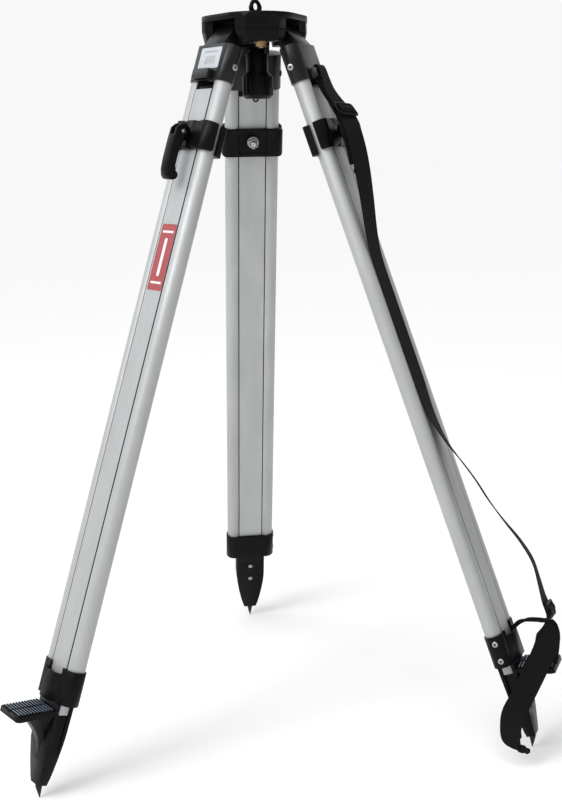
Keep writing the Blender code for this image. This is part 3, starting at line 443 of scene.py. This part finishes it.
# The width of the softened edges, in millimetres.
EDGE = {
    "tube": 0.15, "plank": 0.25, "shoulder": 1.1, "collar": 0.5, "outer_jaw": 0.9,
    "inner_jaw": 1.0, "clamp_lever": 1.0, "foot": 0.35, "head_plate": 0.9, "hinge_cap": 0.8,
    "screw_knob": 0.5,
}
DEFAULT_EDGE = 0.3


def family(node):
    """The longest name in FINISH that a node's name starts with."""
    names = [name for name in FINISH if node.startswith(name)]
    return max(names, key=len) if names else None


def soften(obj, width):
    """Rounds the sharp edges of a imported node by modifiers; its own mesh stays as it is."""
    weld = obj.modifiers.new("Weld", "WELD")
    weld.merge_threshold = 0.00001
    flats = obj.modifiers.new("Flats", "DECIMATE")
    flats.decimate_type = "DISSOLVE"
    flats.angle_limit = radians(0.5)
    bevel = obj.modifiers.new("Bevel", "BEVEL")
    bevel.width = width
    bevel.segments = 2
    bevel.limit_method = "ANGLE"
    bevel.angle_limit = radians(38)
    bevel.use_clamp_overlap = True
    bevel.harden_normals = True


def finish_nodes():
    """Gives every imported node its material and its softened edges."""
    for name, obj in frame["nodes"].items():
        kind = family(name)
        if kind is None:
            continue
        material = FINISH[kind] or TUBE_METAL[name.rsplit("_", 1)[1]]
        obj.data.shade_smooth()
        for slot in obj.material_slots:
            slot.material = material
        soften(obj, EDGE.get(kind, DEFAULT_EDGE) * MM)


finish_nodes()


# ---- fittings on every leg: screws, rivets, lock nuts, panels, jaw faces and ribs --------------

def screw_head(edit, matrix, radius, rise, socket):
    """A domed head with a round recess, its underside at the matrix's origin."""
    turn_profile(edit, [(0, -0.4 * MM), (radius, -0.4 * MM), (radius, 0.35 * rise),
                        (0.86 * radius, 0.8 * rise), (0.6 * radius, rise), (socket, rise),
                        (0.8 * socket, -0.2 * rise), (0, -0.25 * rise)], 24, matrix)


def facing(direction, at):
    """A matrix at a place whose Z points along a direction."""
    return Matrix.Translation(at) @ Vector(direction).to_track_quat("Z", "Y").to_matrix().to_4x4()


def add_fasteners(leg):
    """Screws in the shoulder's and the collar's narrow sides, rivets in the back of the foot."""
    heads, sockets = bmesh.new(), bmesh.new()
    for side, out, down, radius, face in SIDE_SCREWS:
        matrix = facing((side, 0, 0), Vector((side * face, out, -down)) * MM)
        screw_head(heads, matrix, radius * MM, SCREW_RISE, SOCKET_R)
        # A dark hex in each head's recess: painted shade inside the socket hole.
        turn_profile(sockets, [(0, -SOCKET_DEPTH), (SOCKET_R, -SOCKET_DEPTH),
                               (SOCKET_R, SOCKET_DEPTH), (0, SOCKET_DEPTH)], 6, matrix)
    body = f"upper_leg_{leg}"
    add_object(f"side_screws_{leg}", finish_mesh(heads, "screws", MATRIX[leg]), body,
               STEEL)
    add_object(f"screw_socket_shades_{leg}", finish_mesh(sockets, "sockets", MATRIX[leg]), body,
               DARK_STEEL_AND_SOCKET_SHADE)
    rivets = bmesh.new()
    for down, back in FOOT_RIVETS:
        at = Vector((0, -back, -down)) * MM
        screw_head(rivets, facing((0, -1, 0.02), at), RIVET_R, RIVET_RISE, RIVET_DIMPLE)
    add_object(f"foot_rivets_{leg}", finish_mesh(rivets, "rivets", MATRIX[leg]),
               f"lower_leg_{leg}", STEEL)


def add_lock_nut(leg):
    """The nylon ring and the chamfered bolt end in the clamp bolt's lock nut."""
    matrix = facing((0, -1, 0), Vector((0, -NUT_FACE, -BOLT_DOWN)))
    ring = bmesh.new()
    turn_profile(ring, [(0, -0.3 * MM), (5.3 * MM, -0.3 * MM), (5.1 * MM, 0.7 * MM),
                        (4.4 * MM, 1.1 * MM), (0, 1.1 * MM)], 32, matrix)
    add_object(f"nut_ring_{leg}", finish_mesh(ring, "nut_ring", MATRIX[leg]),
               f"lower_leg_{leg}", PLASTIC)
    end = bmesh.new()
    turn_profile(end, [(0, 0), (4.05 * MM, 0), (4.05 * MM, 1.6 * MM), (3.3 * MM, 2.3 * MM),
                       (1.2 * MM, 2.3 * MM), (0.8 * MM, 1.9 * MM), (0, 1.9 * MM)], 24, matrix)
    add_object(f"bolt_end_{leg}", finish_mesh(end, "bolt_end", MATRIX[leg]),
               f"lower_leg_{leg}", STEEL)


def box_mesh(edit, low, high):
    """Adds a box between two corners."""
    made = bmesh.ops.create_cube(edit, size=1)
    size = high - low
    for vert in made["verts"]:
        vert.co = low + Vector((vert.co[i] + 0.5) * size[i] for i in range(3))


def add_plank_panels(leg):
    """The plank's raised faces, and thin black strips along their sides that paint the shade in the seams
    against the tubes.
    """
    panels, seam_shades = bmesh.new(), bmesh.new()
    for side, face in ((-1, PANEL_BACK), (1, PANEL_FACE)):
        root = side * (PLANK_FACE - PANEL_ROOT)
        low, high = sorted((root, side * face))
        box_mesh(panels, Vector((-PANEL_HALF, low, -PANEL_END)),
                 Vector((PANEL_HALF, high, -PANEL_TOP)))
        low, high = sorted((root, side * (face - SEAM_SHADE_STEP)))
        # Each strip paints the shade in one seam.
        for left, right in ((-SEAM_SHADE_OUT, -SEAM_SHADE_IN), (SEAM_SHADE_IN, SEAM_SHADE_OUT)):
            box_mesh(seam_shades, Vector((left, low, -PANEL_END)), Vector((right, high, -PANEL_TOP)))
    long_edges = [edge for edge in panels.edges if edge.calc_length() > 0.1]
    bmesh.ops.bevel(panels, geom=long_edges, offset=PANEL_EDGE, segments=2, affect="EDGES")
    body = f"lower_leg_{leg}"
    add_object(f"plank_panels_{leg}", finish_mesh(panels, "panels", MATRIX[leg]), body,
               TUBE_METAL[leg])
    add_object(f"seam_shade_strips_{leg}", finish_mesh(seam_shades, "seam_shades", MATRIX[leg]), body,
               PLASTIC)


def add_jaw_faces(leg):
    """The flat faces that fill the outer jaw out between its wings and the lever's seat."""
    faces = bmesh.new()
    for left, right in ((-SEAT_OUT, -SEAT_IN), (SEAT_IN, SEAT_OUT)):
        box_mesh(faces, Vector((left, SEAT_LOW, -JAW_END)), Vector((right, SEAT_HIGH, -JAW_TOP)))
    bmesh.ops.bevel(faces, geom=faces.edges, offset=JAW_EDGE, segments=3, affect="EDGES")
    add_object(f"jaw_faces_{leg}", finish_mesh(faces, "jaw_faces", MATRIX[leg]),
               f"lower_leg_{leg}", CASTING)


def add_tread_ribs(leg):
    """Two rows of ribs on the step plate, with a lighter, bluish layer on their tops as painted highlight.
    """
    ribs, tops = bmesh.new(), bmesh.new()
    pitch = (TREAD_FAR - TREAD_NEAR) / RIBS
    for i in range(RIBS):
        y = TREAD_NEAR + (i + RIB_START) * pitch
        y_end = y + RIB_SHARE * pitch
        z = -TREAD_DOWN - TREAD_FALL * (y - TREAD_ROOT)
        z_top = z + RIB_RISE
        for x0, x1 in ((-TREAD_HALF, -TREAD_GROOVE), (TREAD_GROOVE, TREAD_HALF)):
            box_mesh(ribs, Vector((x0, y, z)), Vector((x1, y_end, z_top)))
            # The thin top layer carries the painted highlight.
            box_mesh(tops, Vector((x0, y, z_top)), Vector((x1, y_end, z_top + RIB_HIGHLIGHT_T)))
    body = f"lower_leg_{leg}"
    add_object(f"tread_ribs_{leg}", finish_mesh(ribs, "ribs", MATRIX[leg]), body,
               CASTING)
    add_object(f"highlighted_rib_tops_{leg}", finish_mesh(tops, "tops", MATRIX[leg]), body,
               RIB_TOP_HIGHLIGHT)


for leg in LEGS:
    add_fasteners(leg)
    add_lock_nut(leg)
    add_plank_panels(leg)
    add_jaw_faces(leg)
    add_tread_ribs(leg)


# ---- labels ------------------------------------------------------------------------------------

def rounded_plate(edit, x0, x1, z0, z1, face, lift, radius):
    """A thin plate with round corners on a face that looks along Y."""
    corners = []
    for cx, cz, start in ((x1 - radius, z0 + radius, -90), (x1 - radius, z1 - radius, 0),
                          (x0 + radius, z1 - radius, 90), (x0 + radius, z0 + radius, 180)):
        for i in range(5):
            a = radians(start + 22.5 * i)
            corners.append((cx + radius * cos(a), cz + radius * sin(a)))
    back = [edit.verts.new((x, face, z)) for x, z in corners]
    front = [edit.verts.new((x, face + lift, z)) for x, z in corners]
    edit.faces.new(back)
    edit.faces.new(front)
    for i in range(len(corners)):
        j = (i + 1) % len(corners)
        edit.faces.new((back[i], back[j], front[j], front[i]))


def add_plate(name, leg, body, material, plates, face, lift):
    """Adds label plates that stand on a leg's outer face."""
    edit = bmesh.new()
    for x0, x1, z0, z1, radius in plates:
        rounded_plate(edit, x0 * MM, x1 * MM, -z1 * MM, -z0 * MM, face, lift, radius * MM)
    add_object(name, finish_mesh(edit, name, MATRIX[leg]), f"{body}_{leg}",
               material)


RED = printed("red_label", (0.34, 0.045, 0.05))
PALE = printed("pale_print", (0.72, 0.72, 0.70))
STICKER = printed("pale_sticker", (0.47, 0.49, 0.53))
GREY = printed("grey_print", (0.30, 0.31, 0.32))

add_plate("plank_label", "left", "lower_leg", RED, PLANK_LABEL, PLANK_LABEL_FACE, LABEL_T)
add_plate("plank_label_marks", "left", "lower_leg", PALE, PLANK_LABEL_MARKS,
          PLANK_LABEL_FACE + LABEL_T, PRINT_T)
add_plate("shoulder_label", "left", "upper_leg", STICKER, STICKER_PLATE, STICKER_FACE, LABEL_T)
add_plate("shoulder_label_marks", "left", "upper_leg", GREY, STICKER_MARKS,
          STICKER_FACE + LABEL_T, PRINT_T)


# ---- strap -------------------------------------------------------------------------------------

def band_frames(route, pieces):
    """Centre, across vector, normal and width at points along a flat band's route."""
    samples = smooth(route, pieces)
    centres = [Vector((x, y, -down)) * MM for x, y, down, *_ in samples]
    frames = []
    for i, sample in enumerate(samples):
        ahead = centres[min(i + 1, len(centres) - 1)] - centres[max(i - 1, 0)]
        ahead.normalize()
        turn = radians(sample[3])
        level = Vector((cos(turn), -sin(turn), 0))
        across = (level - ahead * level.dot(ahead)).normalized()
        frames.append((centres[i], across, across.cross(ahead), sample[4]))
    return frames


def band_section(width, thickness):
    """A woven band's section as (across, lift): flat with thicker, rounded selvedges."""
    half, t = width / 2, thickness / 2
    flat = half - SELVEDGE
    edge = [(-half, 0.35 * t), (-half + 0.3 * MM, 0.9 * t), (-half + 0.5 * SELVEDGE, 1.08 * t),
            (-flat, 0.86 * t)]
    middle = [(part * flat, 0.86 * t) for part in (-0.5, 0, 0.5)]
    upper = edge + middle + [(-x, y) for x, y in reversed(edge)]
    return upper + [(x, -y) for x, y in reversed(upper)]


def make_band(name, frames, matrix, thickness=STRAP_T):
    """A webbing band with UVs in metres, across and along."""
    edit = bmesh.new()
    layer = edit.loops.layers.uv.new("UVMap")
    rings, length, last = [], 0.0, None
    for centre, across, normal, width in frames:
        length += (centre - last).length if last is not None else 0.0
        last = centre
        section = band_section(width, thickness)
        rings.append([(edit.verts.new(centre + across * x + normal * y), x, length)
                      for x, y in section])
    count = len(rings[0])
    for first, second in zip(rings, rings[1:]):
        for i in range(count):
            j = (i + 1) % count
            corners = (first[i], first[j], second[j], second[i])
            face = edit.faces.new([corner[0] for corner in corners])
            for loop, corner in zip(face.loops, corners):
                loop[layer].uv = corner[1:]
    edit.faces.new([corner[0] for corner in rings[0]])
    edit.faces.new([corner[0] for corner in reversed(rings[-1])])
    return finish_mesh(edit, name, matrix)


def bar_mesh(name, lines, radius, matrix, flatten=1.0):
    """Round bars along lines of points, each (points, closed), pressed flatter along Z."""
    curve = bpy.data.curves.new(name, "CURVE")
    curve.dimensions = "3D"
    curve.bevel_depth = radius
    curve.bevel_resolution = 3
    curve.use_fill_caps = True
    for points, closed in lines:
        spline = curve.splines.new("POLY")
        spline.points.add(len(points) - 1)
        for point, co in zip(spline.points, points):
            point.co = (*co, 1)
        spline.use_cyclic_u = closed
    holder = bpy.data.objects.new(name, curve)
    mesh = bpy.data.meshes.new_from_object(holder)
    bpy.data.objects.remove(holder)
    bpy.data.curves.remove(curve)
    mesh.transform(matrix @ Matrix.Diagonal((1, 1, flatten, 1)))
    return mesh


def rounded_loop(half_x, half_y, radius):
    """Points round a rectangle with round corners."""
    points = []
    for cx, cy, start in ((1, -1, -90), (1, 1, 0), (-1, 1, 90), (-1, -1, 180)):
        for i in range(6):
            a = radians(start + 18 * i)
            points.append((cx * (half_x - radius) + radius * cos(a),
                           cy * (half_y - radius) + radius * sin(a), 0))
    return points


def on_band(frame, lift=0.0):
    """A matrix on a band: X across, Y along it and Z out of its face."""
    centre, across, normal, _ = frame
    turn = Matrix((across, normal.cross(across), normal)).transposed().to_4x4()
    return MATRIX["right"] @ Matrix.Translation(centre + normal * lift) @ turn


def nearest(frames, down):
    """The index of the frame nearest to a distance below the hinge, past the bridge."""
    later = range(len(frames) // 4, len(frames))
    return min(later, key=lambda i: abs(frames[i][0].z + down))


def add_band(name, frames, thickness=STRAP_T):
    """Adds a webbing band that rides on the right upper leg."""
    mesh = make_band(name, frames, MATRIX["right"], thickness)
    return add_object(name, mesh, "upper_leg_right", WEBBING, 60)


def add_slider(name, node, frame, size):
    """A three-bar slider whose rounded frame stands proud of the band."""
    half_x, half_y = size
    matrix = on_band(frame, STRAP_T / 2 + SLIDER_LIFT)
    rim = (rounded_loop(half_x, half_y, SLIDER_CORNER), True)
    bar = ([(-half_x, 0, 0), (half_x, 0, 0)], False)
    mesh = bar_mesh(name, [rim, bar], SLIDER_BAR, matrix, SLIDER_FLAT)
    slider = add_object(name, mesh, "upper_leg_right", PLASTIC, 60)
    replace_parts(slider, node)


def slider_hump(frame, size):
    """The ply that rises through a slider, over its middle bar and back down."""
    half_y, width = size
    centre, across, normal, _ = frame
    along = normal.cross(across)
    result = []
    for i in range(2 * HUMP_STEPS + 1):
        t = i / HUMP_STEPS - 1
        height = HUMP_BASE + HUMP_RISE * (1 - t * t) ** 0.6
        result.append((centre + along * t * half_y + normal * height, across, normal, width))
    return result


def second_ply(frames, across_by, below, width):
    """The frames of a ply that lies behind the band."""
    return [(centre + across * across_by - normal * below, across, normal, width)
            for centre, across, normal, _ in frames]


def add_strap():
    """The carry strap with its sliders, the ply behind its upper part and its free tail."""
    main = band_frames(STRAP_ROUTE, 6)
    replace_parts(add_band("strap_webbing", main), "carry_strap")
    upper = nearest(main, UPPER_SLIDER_DOWN)
    add_slider("upper_slider_frame", "slider_upper", main[upper], UPPER_SLIDER)
    add_band("slider_hump", slider_hump(main[upper], UPPER_HUMP))
    tail = main[upper - TAIL_START_BACK:nearest(main, TAIL_END_DOWN)]
    add_band("strap_tail", second_ply(tail, TAIL_ACROSS, TAIL_BELOW, TAIL_W))
    inner = main[nearest(main, INNER_TOP_DOWN):upper]
    add_band("strap_inner_ply", second_ply(inner, 0, INNER_BELOW, INNER_W))
    lower = main[-LOWER_SLIDER_BACK]
    add_slider("lower_slider_frame", "slider_lower", lower, LOWER_SLIDER)
    add_band("lower_hump", slider_hump(lower, LOWER_HUMP))


def add_tie():
    """The tie strap with its second ply, its tether to the collar and its clip."""
    tie = band_frames(TIE_ROUTE, 8)
    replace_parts(add_band("tie_webbing", tie), "tie_strap")
    add_band("tie_second_ply", band_frames(PLY_ROUTE, 8))
    tether = [(*station, 90, TETHER_W) for station in TETHER_ROUTE]
    add_band("tether_webbing", band_frames(tether, 8), TETHER_T)
    add_clip(tie[-1])


def add_clip(frame):
    """The ferrule on the tie strap's end, with its snap hook pointing away from the leg."""
    centre = MATRIX["right"] @ frame[0]
    ahead = CLIP_AHEAD.normalized()
    upright = (Vector((0, 0, 1)) - ahead * ahead.z).normalized()
    matrix = (Matrix.Translation(centre)
              @ Matrix((ahead, ahead.cross(upright) * -1, upright)).transposed().to_4x4())
    ferrule = bmesh.new()
    box_mesh(ferrule, Vector(CLIP_LOW) * MM, Vector(CLIP_HIGH) * MM)
    bmesh.ops.bevel(ferrule, geom=ferrule.edges, offset=CLIP_EDGE * MM, segments=3,
                    affect="EDGES")
    clip = add_object("clip_ferrule", finish_mesh(ferrule, "clip_ferrule", matrix),
                      "upper_leg_right", PLASTIC)
    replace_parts(clip, "tie_clip")
    hook = [(x * MM, 0, z * MM) for x, z in CLIP_HOOK]
    add_object("clip_hook", bar_mesh("clip_hook", [(hook, False)], CLIP_HOOK_R * MM, matrix),
               "upper_leg_right", PLASTIC, 60)


def add_pull_ring():
    """The stout ring on the thread protector, turned partly edge-on to the camera."""
    top = Vector((0, 0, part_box("stud_cap")[1][2]))
    loop = [(RING_R * cos(a) * cos(RING_TURN), RING_R * cos(a) * sin(RING_TURN),
             RING_R * (sin(a) - 1)) for a in (tau * i / 28 for i in range(28))]
    ring = bar_mesh("pull_ring", [(loop, True)], RING_BAR, Matrix.Translation(top))
    add_object("pull_ring", ring, "screw", PLASTIC, 60)


add_strap()
add_tie()
add_pull_ring()


# ---- studio ------------------------------------------------------------------------------------

def add_floor():
    """A wide pale floor just under the points."""
    edit = bmesh.new()
    bmesh.ops.create_circle(edit, cap_ends=True, segments=96, radius=FLOOR_RADIUS)
    mesh = bpy.data.meshes.new("studio_floor")
    edit.to_mesh(mesh)
    edit.free()
    floor = bpy.data.objects.new("studio_floor", mesh)
    bpy.context.scene.collection.objects.link(floor)
    floor.location.z = -FLOOR_DROP
    shader = Shader("pale_floor", (0.95, 0.95, 0.95), 0.9)
    mesh.materials.append(shader.material)


def add_light(name, place, size, power, tint=(1, 1, 1), target=(0, 0, 0.7)):
    """A rectangular softbox that looks at the target."""
    data = bpy.data.lights.new(name, "AREA")
    data.color = tint
    data.shape = "RECTANGLE"
    data.size, data.size_y = size
    data.energy = power
    light = bpy.data.objects.new(name, data)
    bpy.context.scene.collection.objects.link(light)
    light.location = place
    aim = Vector(target) - Vector(place)
    light.rotation_euler = aim.to_track_quat("-Z", "Y").to_euler()


def add_world():
    """A pale wall ahead of the camera and a dimmer room round and above it."""
    world = bpy.data.worlds.new("studio")
    bpy.context.scene.world = world
    world.use_nodes = True
    nodes, links = world.node_tree.nodes, world.node_tree.links
    coords = nodes.new("ShaderNodeTexCoord")
    axes = nodes.new("ShaderNodeSeparateXYZ")
    links.new(coords.outputs["Generated"], axes.inputs["Vector"])
    wall = nodes.new("ShaderNodeMapRange")
    for key, number in zip(("From Min", "From Max", "To Min", "To Max"),
                           (WALL_START, WALL_FULL, ROOM_LIGHT, WALL_LIGHT)):
        wall.inputs[key].default_value = number
    links.new(axes.outputs["Y"], wall.inputs["Value"])
    links.new(wall.outputs["Result"], nodes["Background"].inputs["Strength"])
    nodes["Background"].inputs["Color"].default_value = (1, 1, 1, 1)


def add_sun(name, toward, strength, spread):
    """A broad, even light from far away; spread is its width in degrees."""
    data = bpy.data.lights.new(name, "SUN")
    data.energy = strength
    data.angle = radians(spread)
    sun = bpy.data.objects.new(name, data)
    bpy.context.scene.collection.objects.link(sun)
    sun.rotation_euler = Vector(toward).to_track_quat("-Z", "Y").to_euler()


def add_camera():
    """The camera, standing and turned as the constants say."""
    data = bpy.data.cameras.new("camera")
    data.sensor_width = 36
    data.sensor_fit = "AUTO"
    data.lens = CAMERA_LENS
    data.shift_x = CAMERA_SHIFT
    camera = bpy.data.objects.new("camera", data)
    bpy.context.scene.collection.objects.link(camera)
    ahead = Vector((sin(CAMERA_HEADING) * cos(CAMERA_PITCH),
                    cos(CAMERA_HEADING) * cos(CAMERA_PITCH), -sin(CAMERA_PITCH)))
    level = ahead.cross(Vector((0, 0, 1))).normalized()
    upright = level.cross(ahead)
    right = level * cos(CAMERA_ROLL) + upright * sin(CAMERA_ROLL)
    up = upright * cos(CAMERA_ROLL) - level * sin(CAMERA_ROLL)
    turn = Matrix((right, up, -ahead)).transposed().to_4x4()
    spot = Vector((-CAMERA_DISTANCE * sin(CAMERA_AROUND),
                   -CAMERA_DISTANCE * cos(CAMERA_AROUND), CAMERA_HEIGHT))
    camera.matrix_world = Matrix.Translation(spot) @ turn
    bpy.context.scene.camera = camera


add_floor()
add_world()
add_sun("key", (0.5, 0.45, -0.9), 1.55, 70)
add_light("left_softbox", (-2.2, -1.3, 2.4), (1.2, 1.6), 34)
add_light("rear_softbox", (-2.3, 1.55, 2.25), (1.7, 1.7), 9, tint=(0.84, 0.92, 1.0))
add_camera()
bpy.context.scene.view_settings.view_transform = "Standard"
